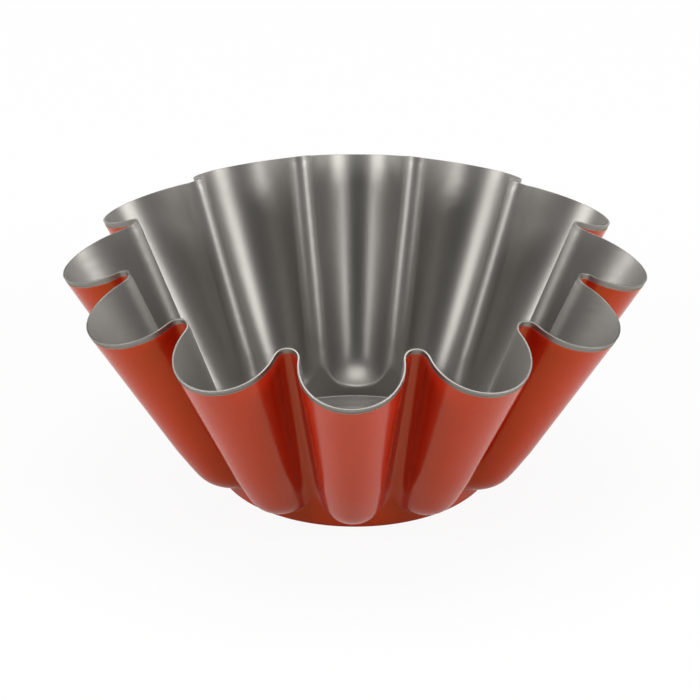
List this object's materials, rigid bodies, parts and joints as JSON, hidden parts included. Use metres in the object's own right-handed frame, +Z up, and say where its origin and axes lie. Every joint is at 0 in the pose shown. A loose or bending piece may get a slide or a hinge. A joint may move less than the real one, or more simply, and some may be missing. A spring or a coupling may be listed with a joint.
{
  "type": "fluted pudding mould",
  "caption": "Flaring fluted pudding mould with a scalloped rim, rounded flute ends and a round flat base, red outside and grey non-stick inside.",
  "frame": {"origin": "centre of the base's underside, on the surface that the mould stands on", "axes": "+Z up along the mould's axis, out of its mouth; one flute's crest faces -Y"},
  "size_m": [0.2208, 0.2208, 0.0912],
  "materials": {
    "red_lacquer": "baked-on gloss lacquer",
    "bare_steel": "satin sheet steel, bare at the rim",
    "grey_non_stick": "satin grey non-stick coating"
  },
  "bodies": {
    "root": {"red_outer_lacquer": "red_lacquer", "pressed_shell": "bare_steel", "nonstick_lining": "grey_non_stick"}
  },
  "joints": []
}
